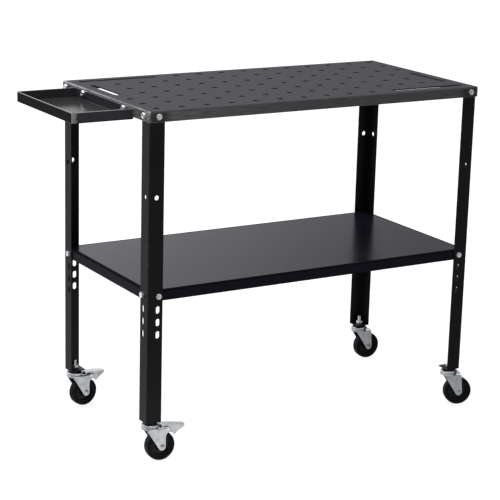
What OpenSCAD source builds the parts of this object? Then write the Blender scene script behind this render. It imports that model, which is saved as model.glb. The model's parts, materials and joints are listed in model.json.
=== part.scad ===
// Rolling welding table: perforated top, lower shelf, side tray, four angle legs on swivel casters.
// +X runs along the table's length, +Y from its front to its back and +Z up.
// The origin lies on the floor, in the middle of the whole object's box.

/* [Table top] */
// Length of the top, along X
table_w = 914.4; // [800:0.1:1200]
// Depth of the top, along Y
table_d = 457.2; // [420:0.1:600]
// Height of the work surface above the floor
work_h = 835; // [760:1:900]
// Thickness of the top's sheet
top_t = 3; // [2:0.5:4]
// Height of the top's folded rim
top_rim_h = 25.4; // [22:0.1:40]

/* [Fixture holes] */
// Distance between neighbouring holes
grid_pitch = 65; // [60:0.5:68]
// Columns of holes along X
grid_cols = 14; // [12:1:14]
// Rows of holes along Y
grid_rows = 7; // [7:1:7]
// Diameter of a fixture hole and width of a clamp slot
fixture_d = 16; // [10:0.5:20]

/* [Legs] */
// Width of each flange of a leg angle
leg_w = 38; // [34:0.5:45]
// Thickness of a leg angle
leg_t = 3; // [2:0.5:4]

/* [Shelf] */
// Height of the shelf's surface above the floor
shelf_h = 419; // [350:1:500]
// Thickness of the shelf's sheet
shelf_t = 1.5; // [1:0.1:2]
// Height of the shelf's folded rim
shelf_rim_h = 25.4; // [22:0.1:30]

/* [Side tray] */
// How far the tray stands out from the table's left rim
tray_reach = 152.4; // [100:0.1:180]
// Length of the tray along Y
tray_len = 304.8; // [250:0.1:340]
// Depth of the tray, from its edge to its underside
tray_depth = 25; // [22:0.5:30]
// Drop of the tray's edge below the work surface
tray_drop = 5; // [2:0.5:6]

/* [Casters] */
// Diameter of a wheel
wheel_d = 72; // [66:1:74]
// Width of a wheel
wheel_w = 24; // [20:0.5:25]
// Height of a caster, from the floor to the bottom of its leg
caster_h = 99; // [98:0.5:102]
// Distance from the swivel axis to the axle
trail = 24.5; // [23:0.5:26]
// Swivel angle of the front left caster
yaw_fl = -3; // [-30:1:30]
// Swivel angle of the front right caster
yaw_fr = -20; // [-30:1:30]
// Swivel angle of the back left caster
yaw_bl = 10; // [-30:1:30]
// Swivel angle of the back right caster
yaw_br = -3; // [-30:1:30]

/* [Hidden] */
$fn = 48;
past = 1;                     // how far a cut runs past a face

// Bends of the folded sheets
top_bend_r = 4;               // outer radius of the top's bends
shelf_bend_r = 3;
tray_bend_r = 3;
corner_r = 2;                 // ground radius of the welded corners

// Bolts: M8 hex bolts, the same all over the frame
bolt_r = 4;
bolt_hole_r = 4.5;
bolt_hex_af = 13;
seat_r = 6.4;                 // round seat under a bolt's head
seat_t = 0.6;
hex_h = 5.3;
hex_dish = [3.2, 4.2, 0.8];   // hollow in a bolt's head: floor radius, mouth radius, depth
bolt_end = 0.8;               // chamfer of a bolt's end
bolt_head_h = seat_t + hex_h;
nut_h = 6.5;
nut_slope = 1.6;              // how fast a nut's ends widen over its height
thread_past_nut = 2.5;        // thread showing past a nut

// Holes in the legs, measured from the leg's outer corner
rim_bolt_in = 20;
shelf_bolt_in = 26;
upper_hole_r = 5.75;
upper_hole_drop = 198;        // below the work surface
slot_w = 10;
slot_h = 18;
first_slot_drop = 33;         // first slot, below the shelf's bolt
slot_pitch = 29.8;
slot_count = 3;
leg_corner_r = 3;
leg_inner_r = 1;
leg_top_gap = 2;              // clear of the top's inner bends

// Places of the frame's parts
leg_in = top_t;               // leg's outer faces, in from the rim's outer face
shelf_in = leg_in + leg_t;    // shelf's rim, in from the same face
foot_in = leg_in + leg_w / 2; // swivel axis, in from the same face
foot_t = 3;
rim_bolt_z = work_h - top_rim_h / 2;
shelf_bolt_z = shelf_h - shelf_rim_h / 2;
tray_t = 1.5;
tray_top = work_h - tray_drop;
tray_bolt_y = 107;            // tray's bolts, each side of its middle
shelf_w = table_w - 2 * shelf_in;
shelf_d = table_d - 2 * shelf_in;

// Clamp slots: each takes the place of a run of holes, [column, row, columns, rows]
clamp_slots = [[0, 6, 4, 1], [10, 0, 4, 1], [0, 3, 1, 3], [13, 1, 1, 3]];

// Casters, each in its own frame: 0 is the bottom of the leg and the wheel trails towards +X
stem_r = 5;
stem_up = 24;                 // end of the stem above the leg's bottom
stem_nut_af = 17;
stem_nut_h = 8;
thread_pitch = 1.5;
thread_depth = 0.6;
spacer_h = 5;
spacer_side = [[12.5, 0], [15.5, -1.6], [17, -spacer_h]];
race_r = 21.3;
race_slope = [[race_r - 3, -spacer_h], [race_r - 0.8, -spacer_h - 1], [race_r, -spacer_h - 2.4]];
race_lip_t = 2;
race_lip_h = 5.4;
race_plate_t = 3.4;
ball_r = 2.5;
ball_ring_r = 14.5;
ball_z = -9.8;
ball_count = 12;
groove_r = ball_r + 0.05;
running = 0.05;               // radial clearance of the running fits
crown_z = -15;                // top of the fork's crown
crown_t = 2.5;
crown_r = 21.5;
ring_r = 18.8;                // pressed ring that carries the balls
ring_inner_r = 9;
ring_h = 3.8;
fork_gap = 28.6;
fork_side_t = 2.2;
fork_y = fork_gap / 2 + fork_side_t;
fork_bend_r = 4.5;
fork_end_r = 9;
rivet_r = 8.5;
rivet_h = 2.8;
rivet_edge = [2, 1.4];        // width and height of the rivet head's sloped edge
rivet_drop = 0.7;             // gap between the rivet's head and the crown
axle_z = wheel_d / 2 - caster_h;
fork_front = [-9.5, -26];     // where the straight front edge of the fork's side begins
fork_rear = [31, -28];        // and its straight rear edge
fork_rear_brake = [33.5, -40];
ear_centre = [43.5, -38.5];   // corner of the ear that carries the brake's pedal
ear_r = 9.5;
ear_end = [[47, -29], [47, -17], [45, crown_z]];
axle_r = 4;
axle_head_r = 6;
axle_head_h = 1.8;
pin_head_taper = 0.6;         // radius of a pin's head at its outer end, as a share
bush_r = 6;
bush_len = fork_gap - 0.2;
hub_r = 11;
hub_w = wheel_w + 2;
tyre_inner_r = 26;
tyre_seat_w = wheel_w - 5;    // width of the wheel's rim under the tyre
shoulder_r = 4;
web_t = 9;
web_fillet = 1.5;
rim_wall = 3;                 // thickness of the wheel's rim

// Foot brake of the two left casters
pedal_pin = [40, -20];        // X and Z of the pedal's pivot
pedal_pin_r = 2.5;
pedal_half_w = 11;
pedal_tip_half_w = 8;
pedal_t = 2;
pedal_start = [24.5, -9];
pedal_tip = [87, -17.5];
pedal_wide_end = 62;          // X where the pedal starts to narrow
pedal_tip_run = 3;            // length of its rounded end
// Underside of the pedal from its tip forward: its claw, then its walls round the pivot
claw = [[65, -33], [60, -38.5], [56, -37], [51, -27], [45, -25.5], [41, -26], [36, -24.5], [34, -19]];
// Inside of the pedal behind the claw, and down past it
claw_inside = [[66, -30.5], [60, -33], [50, -60], [0, -60], [0, -14]];
pin_head_r = 4.2;
pin_head_h = 1.6;
spring_w = 12;
spring_side = [[11, -17.5], [25, -17.5], [34, -13.6], [34.4, -14.6], [25.3, -18.5], [11, -18.5]];

FL = 0; FR = 1; BL = 2; BR = 3;
sides = [[-1, -1], [1, -1], [-1, 1], [1, 1]];
yaws = [yaw_fl, yaw_fr, yaw_bl, yaw_br];

// The box that the wheels and the bolt heads reach, from the swivel axes and the rims
function reach_x(a) = (trail + wheel_d / 2 - shoulder_r) * cos(a)
    + (wheel_w / 2 - shoulder_r) * abs(sin(a)) + shoulder_r;
function reach_y(a, side) = side * trail * sin(a) + (wheel_d / 2 - shoulder_r) * abs(sin(a))
    + (wheel_w / 2 - shoulder_r) * cos(a) + shoulder_r;
right_reach = max(reach_x(yaw_fr), reach_x(yaw_br)) - foot_in;
front_reach = max(bolt_head_h, max(reach_y(yaw_fl, -1), reach_y(yaw_fr, -1)) - foot_in);
back_reach = max(bolt_head_h, max(reach_y(yaw_bl, 1), reach_y(yaw_br, 1)) - foot_in);
table_x = (tray_reach - right_reach) / 2;
table_y = (front_reach - back_reach) / 2;

// ---- helpers ----

// Puts children in the table's frame, whose X and Y are 0 at the middle of the top
module on_table() translate([table_x, table_y, 0]) children();

// Puts children at one corner, mirrored from the front left: 0 is the rim's outer corner
module at_corner(i) on_table()
    scale_side(sides[i]) translate([-table_w / 2, -table_d / 2, 0]) children();

module scale_side(s) mirror([s.x > 0 ? 1 : 0, 0, 0]) mirror([0, s.y > 0 ? 1 : 0, 0]) children();

// Puts children in a caster's frame, turned to its swivel angle
module at_caster(i) on_table()
    translate([sides[i].x * (table_w / 2 - foot_in), sides[i].y * (table_d / 2 - foot_in), caster_h])
        rotate([0, 0, yaws[i]]) children();

// A rectangle whose corners are arcs of radius r
module round_rect(w, h, r) {
    translate([-w / 2 + r, -h / 2]) square([w - 2 * r, h]);
    translate([-w / 2, -h / 2 + r]) square([w, h - 2 * r]);
    for (sx = [-1, 1], sy = [-1, 1])
        translate([sx * (w / 2 - r), sy * (h / 2 - r)]) circle(r);
}

// Outline of a folded sheet from one end: flat at z = -h, bent to radius r at z = 0
module fold_outline(w, h, r) {
    translate([-w / 2, -h]) square([w, h - r]);
    translate([-w / 2 + r, -h]) square([w - 2 * r, h]);
    for (s = [-1, 1]) translate([s * (w / 2 - r), -r]) circle(r);
}

// Solid block with two bent edges each way and ground corners
module folded_block(w, d, h, r, corner) intersection() {
    translate([0, d / 2, 0]) rotate([90, 0, 0]) linear_extrude(d) fold_outline(w, h, r);
    translate([-w / 2, 0, 0]) rotate([90, 0, 90]) linear_extrude(w) fold_outline(d, h, r);
    translate([0, 0, -h]) linear_extrude(h) round_rect(w, d, corner);
}

// Sheet of thickness t with a rim folded down on all four sides, its face at z = 0
module folded_pan(w, d, h, t, r) difference() {
    folded_block(w, d, h, r, corner_r);
    translate([0, 0, -t]) folded_block(w - 2 * t, d - 2 * t, h, r - t, corner_r / 4);
}

// Hex bolt along +Z: its head stands on z = 0 and its shank reaches down
module bolt(shank) {
    cylinder(h = seat_t, r = seat_r);
    translate([0, 0, seat_t]) difference() {
        intersection() {
            cylinder(h = hex_h, r = bolt_hex_af / 2 / cos(30), $fn = 6);
            cylinder(h = hex_h, r1 = bolt_hex_af / 2 + hex_h, r2 = bolt_hex_af / 2);
        }
        translate([0, 0, hex_h - hex_dish[2]])
            cylinder(h = past + hex_dish[2], r1 = hex_dish[0], r2 = hex_dish[1]);
    }
    translate([0, 0, -shank + bolt_end]) cylinder(h = shank - bolt_end, r = bolt_r);
    translate([0, 0, -shank]) cylinder(h = bolt_end, r1 = bolt_r - bolt_end, r2 = bolt_r);
}

// Hex nut standing on z = 0, its ends chamfered
module nut(af, h, bore) difference() {
    intersection() {
        cylinder(h = h, r = af / 2 / cos(30), $fn = 6);
        cylinder(h = h, r1 = af / 2, r2 = af / 2 + h * nut_slope);
        cylinder(h = h, r1 = af / 2 + h * nut_slope, r2 = af / 2);
    }
    translate([0, 0, -past]) cylinder(h = h + 2 * past, r = bore);
}

// Both faces of one corner: children(0) is laid out with +Z pointing out of the front face
module both_faces(inset) {
    translate([inset, 0, 0]) rotate([90, 0, 0]) children();
    translate([0, inset, 0]) rotate([0, -90, 0]) children();
}

// ---- frame ----

function in_slot(c, r) = len([for (s = clamp_slots)
    if (c >= s[0] && c < s[0] + s[2] && r >= s[1] && r < s[1] + s[3]) 1]) > 0;
function grid_x(c) = (c - (grid_cols - 1) / 2) * grid_pitch;
function grid_y(r) = (r - (grid_rows - 1) / 2) * grid_pitch;

module clamp_slot(s) {
    x0 = grid_x(s[0] == 0 ? 0 : grid_cols - s[2]);
    y0 = grid_y(s[1]);
    len_x = (s[2] - 1) * grid_pitch;
    len_y = (s[3] - 1) * grid_pitch;
    translate([x0, y0]) {
        circle(fixture_d / 2);
        translate([len_x, len_y]) circle(fixture_d / 2);
        if (len_x > 0) translate([0, -fixture_d / 2]) square([len_x, fixture_d]);
        if (len_y > 0) translate([-fixture_d / 2, 0]) square([fixture_d, len_y]);
    }
}

module tabletop() color("#58565c") on_table() translate([0, 0, work_h]) difference() {
    folded_pan(table_w, table_d, top_rim_h, top_t, top_bend_r);
    for (c = [0:grid_cols - 1], r = [0:grid_rows - 1]) if (!in_slot(c, r))
        translate([grid_x(c), grid_y(r), -top_t - past])
            cylinder(h = top_t + 2 * past, r = fixture_d / 2);
    for (s = clamp_slots) translate([0, 0, -top_t - past])
        linear_extrude(top_t + 2 * past) clamp_slot(s);
    for (s = sides) scale_side(s) translate([-table_w / 2 + leg_in, -table_d / 2 + leg_in, -top_rim_h / 2])
        both_faces(rim_bolt_in) translate([0, 0, -past]) cylinder(h = 2 * top_t + past, r = bolt_hole_r);
    for (s = [-1, 1]) translate([-table_w / 2 - past, s * tray_bolt_y, -top_rim_h / 2])
        rotate([0, 90, 0]) cylinder(h = top_t + 2 * past, r = bolt_hole_r);
}

module shelf() color("#2a282c") on_table() translate([0, 0, shelf_h]) difference() {
    folded_pan(shelf_w, shelf_d, shelf_rim_h, shelf_t, shelf_bend_r);
    for (s = sides) scale_side(s)
        translate([-table_w / 2 + leg_in, -table_d / 2 + leg_in, -shelf_rim_h / 2])
            both_faces(shelf_bolt_in) translate([0, 0, -leg_t - shelf_t - past])
                cylinder(h = leg_t + shelf_t + past, r = bolt_hole_r);
}

module side_tray() color("#202020") on_table()
    translate([-(table_w + tray_reach) / 2, 0, tray_top - tray_depth]) difference() {
        mirror([0, 0, 1]) folded_pan(tray_reach, tray_len, tray_depth, tray_t, tray_bend_r);
        for (s = [-1, 1])
            translate([tray_reach / 2 - tray_t - past, s * tray_bolt_y, rim_bolt_z - tray_top + tray_depth])
                rotate([0, 90, 0]) cylinder(h = tray_t + 2 * past, r = bolt_hole_r);
    }

module leg_outline() difference() {
    translate([leg_w / 2, leg_w / 2]) intersection() {
        square(leg_w, center = true);
        translate([leg_w, leg_w]) round_rect(3 * leg_w, 3 * leg_w, leg_corner_r);
    }
    translate([leg_t + leg_w, leg_t + leg_w]) round_rect(2 * leg_w, 2 * leg_w, leg_inner_r);
}

module leg(i) color("#181818") at_corner(i) translate([leg_in, leg_in, 0]) difference() {
    translate([0, 0, caster_h]) linear_extrude(work_h - top_t - leg_top_gap - caster_h) leg_outline();
    translate([0, 0, rim_bolt_z]) both_faces(rim_bolt_in) leg_hole(bolt_hole_r);
    translate([0, 0, work_h - upper_hole_drop]) both_faces(rim_bolt_in) leg_hole(upper_hole_r);
    translate([0, 0, shelf_bolt_z]) both_faces(shelf_bolt_in) leg_hole(bolt_hole_r);
    for (k = [1:slot_count])
        translate([0, 0, shelf_bolt_z - first_slot_drop - (k - 1) * slot_pitch]) leg_slots();
}

// A hole through one flange
module leg_hole(r) translate([0, 0, -leg_t - past]) cylinder(h = leg_t + 2 * past, r = r);

// Upright slots, one in each flange
module leg_slots() {
    straight = slot_h - slot_w;
    for (s = [-1, 1]) translate([0, 0, s * straight / 2]) both_faces(shelf_bolt_in) leg_hole(slot_w / 2);
    translate([shelf_bolt_in - slot_w / 2, -past, -straight / 2]) cube([slot_w, leg_t + 2 * past, straight]);
    translate([-past, shelf_bolt_in - slot_w / 2, -straight / 2]) cube([leg_t + 2 * past, slot_w, straight]);
}

module foot_plates() color("#1c1c1c") for (i = [FL:BR])
    at_corner(i) translate([leg_in + leg_t, leg_in + leg_t, caster_h]) foot_plate();

module foot_plate() {
    side = leg_w - leg_t;
    cut = 2 * leg_inner_r;
    difference() {
        linear_extrude(foot_t) polygon([[cut, 0], [side, 0], [side, side], [0, side], [0, cut]]);
        translate([side - leg_w / 2, side - leg_w / 2, -past]) cylinder(h = foot_t + 2 * past, r = stem_r);
    }
}

// ---- fasteners of the frame ----

rim_stack = top_t + leg_t;
shelf_stack = leg_t + shelf_t;
tray_stack = tray_t + top_t;

module top_bolts() color("silver") for (i = [FL:BR]) at_corner(i) translate([0, 0, rim_bolt_z])
    both_faces(leg_in + rim_bolt_in) bolt(rim_stack + nut_h + thread_past_nut);

module top_nuts() color("silver") for (i = [FL:BR]) at_corner(i) translate([0, 0, rim_bolt_z])
    both_faces(leg_in + rim_bolt_in) translate([0, 0, -rim_stack - nut_h])
        nut(bolt_hex_af, nut_h, bolt_r + running);

module shelf_bolts() color("silver") for (i = [FL:BR]) at_corner(i)
    translate([leg_in, leg_in, shelf_bolt_z]) both_faces(shelf_bolt_in)
        bolt(shelf_stack + nut_h + thread_past_nut);

module shelf_nuts() color("silver") for (i = [FL:BR]) at_corner(i)
    translate([leg_in, leg_in, shelf_bolt_z]) both_faces(shelf_bolt_in)
        translate([0, 0, -shelf_stack - nut_h]) nut(bolt_hex_af, nut_h, bolt_r + running);

module at_tray_bolts() on_table() for (s = [-1, 1])
    translate([-table_w / 2 - tray_t, s * tray_bolt_y, rim_bolt_z]) rotate([0, -90, 0]) children();

module tray_bolts() color("silver") at_tray_bolts() bolt(tray_stack + nut_h + thread_past_nut);

module tray_nuts() color("silver") at_tray_bolts()
    translate([0, 0, -tray_stack - nut_h]) nut(bolt_hex_af, nut_h, bolt_r + running);

module stem_nuts() color("silver") for (i = [FL:BR]) at_caster(i)
    translate([0, 0, foot_t]) nut(stem_nut_af, stem_nut_h, stem_r + running);

module stem_spacers() color("#161616") for (i = [FL:BR]) at_caster(i) rotate_extrude()
    polygon(concat([[stem_r, 0]], spacer_side, [[stem_r, -spacer_h]]));

// ---- casters: fixed pieces ----

// Threaded stem, riveted under the fork's crown
module stem(i) color("silver") at_caster(i) rotate_extrude() {
    rivet_z = crown_z - crown_t - rivet_drop;
    turns = floor((stem_up - foot_t) / thread_pitch);
    polygon(concat(
        [[0, rivet_z - rivet_h], [rivet_r - rivet_edge.x, rivet_z - rivet_h],
            [rivet_r, rivet_z - rivet_h + rivet_edge.y],
            [rivet_r, rivet_z], [stem_r, rivet_z], [stem_r, foot_t]],
        [for (k = [0:turns - 1], half = [0.5, 1])
            [stem_r - (half == 0.5 ? thread_depth : 0), foot_t + (k + half) * thread_pitch]],
        [[stem_r - 1, stem_up + 0.4], [0, stem_up + 0.4]]));
}

// Upper raceway, pressed onto the stem
module race(i) color("silver") at_caster(i) difference() {
    rotate_extrude() {
        polygon(concat([[stem_r, -spacer_h]], race_slope, [[race_r, -spacer_h - race_lip_h],
            [race_r - race_lip_t, -spacer_h - race_lip_h],
            [race_r - race_lip_t, -spacer_h - race_plate_t], [stem_r, -spacer_h - race_plate_t]]));
    }
    ball_groove();
}

module ball_groove() translate([0, 0, ball_z]) rotate_extrude() translate([ball_ring_r, 0]) circle(groove_r);

module swivel_balls() color("lightgray") for (i = [FL:BR]) at_caster(i)
    for (k = [0:ball_count - 1]) rotate([0, 0, k * 360 / ball_count])
        translate([ball_ring_r, 0, ball_z]) sphere(ball_r);

// ---- casters: swivelling pieces ----

// Point where a line from p touches a circle, on the side that s gives
function touch(p, c, r, s) = let (d = c - p, a = atan2(d.y, d.x) + s * asin(r / norm(d)))
    p + sqrt(d * d - r * r) * [cos(a), sin(a)];

// Points along an arc about c, from angle a0 to angle a1
function arc(c, r, a0, a1, steps) = [for (k = [0:steps]) let (a = a0 + (a1 - a0) * k / steps)
    c + r * [cos(a), sin(a)]];

// Side view of the fork in X and Z: a tapered leg down to the axle
module fork_side(brake) {
    end = [trail, axle_z];
    rear = brake ? fork_rear_brake : fork_rear;
    to_front = touch(fork_front, end, fork_end_r, -1) - end;
    to_rear = touch(rear, end, fork_end_r, 1) - end;
    polygon(concat([[-16, crown_z], [-16, crown_z - crown_t], [-13.5, -20.5], fork_front],
        arc(end, fork_end_r, atan2(to_front.y, to_front.x), atan2(to_rear.y, to_rear.x), 24), [rear],
        brake ? concat(arc(ear_centre, ear_r, 170, 100, 6), ear_end) : [[30, crown_z]]));
}

// The fork's cross-section in Y and Z: an upturned U with bent shoulders
module fork_section() difference() {
    translate([0, crown_z]) fold_outline(2 * fork_y, caster_h, fork_bend_r);
    translate([0, crown_z - crown_t]) fold_outline(fork_gap, caster_h, fork_bend_r - fork_side_t);
}

module fork(i) {
    brake = i == FL || i == BL;
    color("silver") at_caster(i) difference() {
        union() {
            intersection() {
                translate([0, fork_y, 0]) rotate([90, 0, 0]) linear_extrude(2 * fork_y) fork_side(brake);
                translate([-crown_r, 0, 0]) rotate([90, 0, 90]) linear_extrude(4 * crown_r) fork_section();
            }
            translate([0, 0, crown_z - crown_t]) cylinder(h = crown_t, r = crown_r);
            translate([0, 0, crown_z - past]) cylinder(h = ring_h + past, r1 = ring_r + 0.8, r2 = ring_r);
        }
        translate([0, 0, crown_z - crown_t - past])
            cylinder(h = ring_h + crown_t + 2 * past, r = stem_r + running);
        translate([0, 0, crown_z]) cylinder(h = ring_h + past, r = ring_inner_r);
        ball_groove();
        translate([trail, fork_y + past, axle_z]) rotate([90, 0, 0])
            cylinder(h = 2 * (fork_y + past), r = axle_r);
        if (brake) {
            translate([pedal_start.x, -fork_gap / 2, crown_z - 2 * crown_t])
                cube([2 * crown_r, fork_gap, 4 * crown_t]);
            translate([pedal_pin.x, fork_y + past, pedal_pin.y]) rotate([90, 0, 0])
                cylinder(h = 2 * (fork_y + past), r = pedal_pin_r);
        }
    }
}

// A pin along Y with a rounded head outside each side of the fork
module headed_pin(r, head_r, head_h) {
    rotate([90, 0, 0]) translate([0, 0, -fork_y]) cylinder(h = 2 * fork_y, r = r);
    for (s = [-1, 1]) rotate([s * 90, 0, 0]) translate([0, 0, fork_y]) {
        cylinder(h = head_h / 2, r = head_r);
        translate([0, 0, head_h / 2]) cylinder(h = head_h / 2, r1 = head_r, r2 = head_r * pin_head_taper);
    }
}

module axle(i) color("silver") at_caster(i) translate([trail, 0, axle_z])
    headed_pin(axle_r, axle_head_r, axle_head_h);

module bush(i) color("lightgray") at_caster(i) translate([trail, bush_len / 2, axle_z]) rotate([90, 0, 0])
    difference() {
        cylinder(h = bush_len, r = bush_r);
        translate([0, 0, -past]) cylinder(h = bush_len + 2 * past, r = axle_r + running / 2);
    }

// ---- casters: wheels ----

// Half section of the wheel's core, from the bore out to the tyre: radius and half width
core_side = [[bush_r + running, hub_w / 2], [hub_r, hub_w / 2], [hub_r + web_fillet, web_t / 2],
    [tyre_inner_r - rim_wall - 1, web_t / 2], [tyre_inner_r - rim_wall, tyre_seat_w / 2],
    [tyre_inner_r, tyre_seat_w / 2]];

module wheel_core(i) color("#1a1a1a") at_caster(i) translate([trail, 0, axle_z]) rotate([90, 0, 0])
    rotate_extrude() polygon(concat(
        [for (p = core_side) [p.x, -p.y]],
        [for (k = [len(core_side) - 1:-1:0]) core_side[k]]));

module tyre(i) color("#101010") at_caster(i) translate([trail, 0, axle_z]) rotate([90, 0, 0])
    rotate_extrude() intersection() {
        translate([tyre_inner_r, -wheel_w / 2]) square([wheel_d / 2 - tyre_inner_r, wheel_w]);
        round_rect(wheel_d, wheel_w, shoulder_r);
    }

// ---- foot brake ----

// Height of the top of the pedal's blade at x
function blade(x) = pedal_start.y
    + (x - pedal_start.x) * (pedal_tip.y - pedal_start.y) / (pedal_tip.x - pedal_start.x);

// Side view of the pedal: a blade over the wheel with a claw behind its tread
module pedal_side() {
    polygon(concat([pedal_start, pedal_tip, pedal_tip - [0.4, 4.5]], claw,
        [[pedal_start.x, blade(pedal_start.x) - 2 * pedal_t]]));
}

// The hollow between the pedal's two walls, open below the blade
module pedal_hollow() polygon(concat([[pedal_start.x - past, blade(pedal_start.x - past) - pedal_t],
    [pedal_tip.x - pedal_tip_run, blade(pedal_tip.x - pedal_tip_run) - pedal_t]], claw_inside));

// Plan of the pedal, one side of its middle
pedal_plan = [[pedal_start.x - past, pedal_half_w - 2], [pedal_start.x + 2, pedal_half_w],
    [pedal_wide_end, pedal_half_w], [pedal_tip.x - pedal_tip_run, pedal_tip_half_w],
    [pedal_tip.x, pedal_tip_half_w - 3]];

module pedal(i) color("silver") at_caster(i) difference() {
    intersection() {
        rotate([90, 0, 0]) linear_extrude(2 * pedal_half_w, center = true) pedal_side();
        translate([0, 0, -caster_h]) linear_extrude(caster_h) polygon(concat(
            [for (p = pedal_plan) [p.x, -p.y]],
            [for (k = [len(pedal_plan) - 1:-1:0]) pedal_plan[k]]));
    }
    rotate([90, 0, 0]) linear_extrude(2 * (pedal_tip_half_w - pedal_t), center = true) pedal_hollow();
    rotate([90, 0, 0]) linear_extrude(2 * (pedal_half_w - pedal_t), center = true)
        intersection() {
            pedal_hollow();
            translate([0, -caster_h]) square([pedal_wide_end, caster_h]);
        }
    translate([pedal_pin.x, pedal_half_w + past, pedal_pin.y]) rotate([90, 0, 0])
        cylinder(h = 2 * (pedal_half_w + past), r = pedal_pin_r + running);
}

module pedal_pivot(i) color("silver") at_caster(i) translate([pedal_pin.x, 0, pedal_pin.y])
    headed_pin(pedal_pin_r, pin_head_r, pin_head_h);

// Leaf spring under the crown that holds the pedal up
module brake_spring(i) color("gray") at_caster(i) rotate([90, 0, 0])
    linear_extrude(spring_w, center = true) polygon(spring_side);

tabletop();
shelf();
side_tray();
leg(FL);  // leg_front_left
leg(FR);  // leg_front_right
leg(BL);  // leg_back_left
leg(BR);  // leg_back_right
foot_plates();
top_bolts();
top_nuts();
shelf_bolts();
shelf_nuts();
tray_bolts();
tray_nuts();
stem_nuts();
stem_spacers();
swivel_balls();
stem(FL);  // stem_fl
stem(FR);  // stem_fr
stem(BL);  // stem_bl
stem(BR);  // stem_br
race(FL);  // race_fl
race(FR);  // race_fr
race(BL);  // race_bl
race(BR);  // race_br
fork(FL);  // fork_fl
fork(FR);  // fork_fr
fork(BL);  // fork_bl
fork(BR);  // fork_br
axle(FL);  // axle_fl
axle(FR);  // axle_fr
axle(BL);  // axle_bl
axle(BR);  // axle_br
bush(FL);  // bush_fl
bush(FR);  // bush_fr
bush(BL);  // bush_bl
bush(BR);  // bush_br
wheel_core(FL);  // wheel_core_fl
wheel_core(FR);  // wheel_core_fr
wheel_core(BL);  // wheel_core_bl
wheel_core(BR);  // wheel_core_br
tyre(FL);  // tyre_fl
tyre(FR);  // tyre_fr
tyre(BL);  // tyre_bl
tyre(BR);  // tyre_br
pedal(FL);  // pedal_fl
pedal(BL);  // pedal_bl
pedal_pivot(FL);  // pedal_pin_fl
pedal_pivot(BL);  // pedal_pin_bl
brake_spring(FL);  // brake_spring_fl
brake_spring(BL);  // brake_spring_bl
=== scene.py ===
"""Finishes, fine pieces and stage of a rolling welding table."""

import json
import math
import random

import bmesh
import bpy
from bpy.props import FloatProperty, FloatVectorProperty, IntProperty, PointerProperty
from bpy.types import Operator, Panel, PropertyGroup
from mathutils import Matrix, Vector


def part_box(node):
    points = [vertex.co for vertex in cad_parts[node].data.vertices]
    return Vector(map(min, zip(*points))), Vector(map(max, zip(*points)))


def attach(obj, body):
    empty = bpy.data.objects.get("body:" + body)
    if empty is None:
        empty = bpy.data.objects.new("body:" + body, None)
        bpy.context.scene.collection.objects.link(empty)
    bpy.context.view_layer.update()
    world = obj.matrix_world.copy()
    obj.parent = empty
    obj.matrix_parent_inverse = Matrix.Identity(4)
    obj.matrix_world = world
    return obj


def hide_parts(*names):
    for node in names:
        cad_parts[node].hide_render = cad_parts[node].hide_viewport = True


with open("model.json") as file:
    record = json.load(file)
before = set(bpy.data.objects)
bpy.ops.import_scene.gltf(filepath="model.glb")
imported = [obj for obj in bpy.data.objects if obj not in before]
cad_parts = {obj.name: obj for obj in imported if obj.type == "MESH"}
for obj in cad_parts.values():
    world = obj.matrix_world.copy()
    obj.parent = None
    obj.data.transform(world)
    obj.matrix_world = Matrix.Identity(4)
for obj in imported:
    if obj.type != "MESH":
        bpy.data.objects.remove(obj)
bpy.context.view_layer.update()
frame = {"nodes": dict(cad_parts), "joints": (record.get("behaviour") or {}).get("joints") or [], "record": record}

bl_info = {
    "name": "Rolling welding table",
    "version": (1, 0, 0),
    "blender": (4, 5, 0),
    "location": "3D View > Sidebar > Welding Table",
    "description": "Finishes, welds, tyres and stage of a rolling welding table",
    "category": "Object",
}

MM = 0.001
NODES = frame["nodes"]
JOINTS = {joint["name"]: joint for joint in frame["joints"]}
CORNERS = ("fl", "fr", "bl", "br")
LEGS = ("leg_front_left", "leg_front_right", "leg_back_left", "leg_back_right")
FASTENERS = ("top_bolts", "top_nuts", "shelf_bolts", "shelf_nuts", "tray_bolts", "tray_nuts", "stem_nuts")
TOP_LOW, TOP_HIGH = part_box("tabletop")
TRAY_LOW, TRAY_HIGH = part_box("side_tray")
SHELF_LOW, SHELF_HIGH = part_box("shelf")
FOOT_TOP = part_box("foot_plates")[1].z
TOP_MIDDLE = (TOP_LOW + TOP_HIGH) / 2

# Sheets, as the frame has them.
TOP_SHEET = 3.0 * MM
THIN_SHEET = 1.5 * MM

# Rounding and smoothing of the frame's own pieces.
JOIN_DISTANCE = 0.002 * MM
FLAT_ANGLE = math.radians(0.4)
CUT_EDGE_ANGLE = math.radians(32)
ROUND_STEPS = 2

# Weld beads.
BEAD_SIDES = 10
BEAD_SWELL = 0.16
BEAD_LUMPS = 0.10
PLATE_WELD_START = 8 * MM
PLATE_WELD_END = 34 * MM
PLATE_WELD_INSIDE = 3.2 * MM
PLATE_WELD_LIFT = 0.2 * MM

# Tyres.
TYRE_SHOULDER = 4 * MM
MOULD_LINE = 0.12 * MM
TREAD_STEPS = 6

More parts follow.
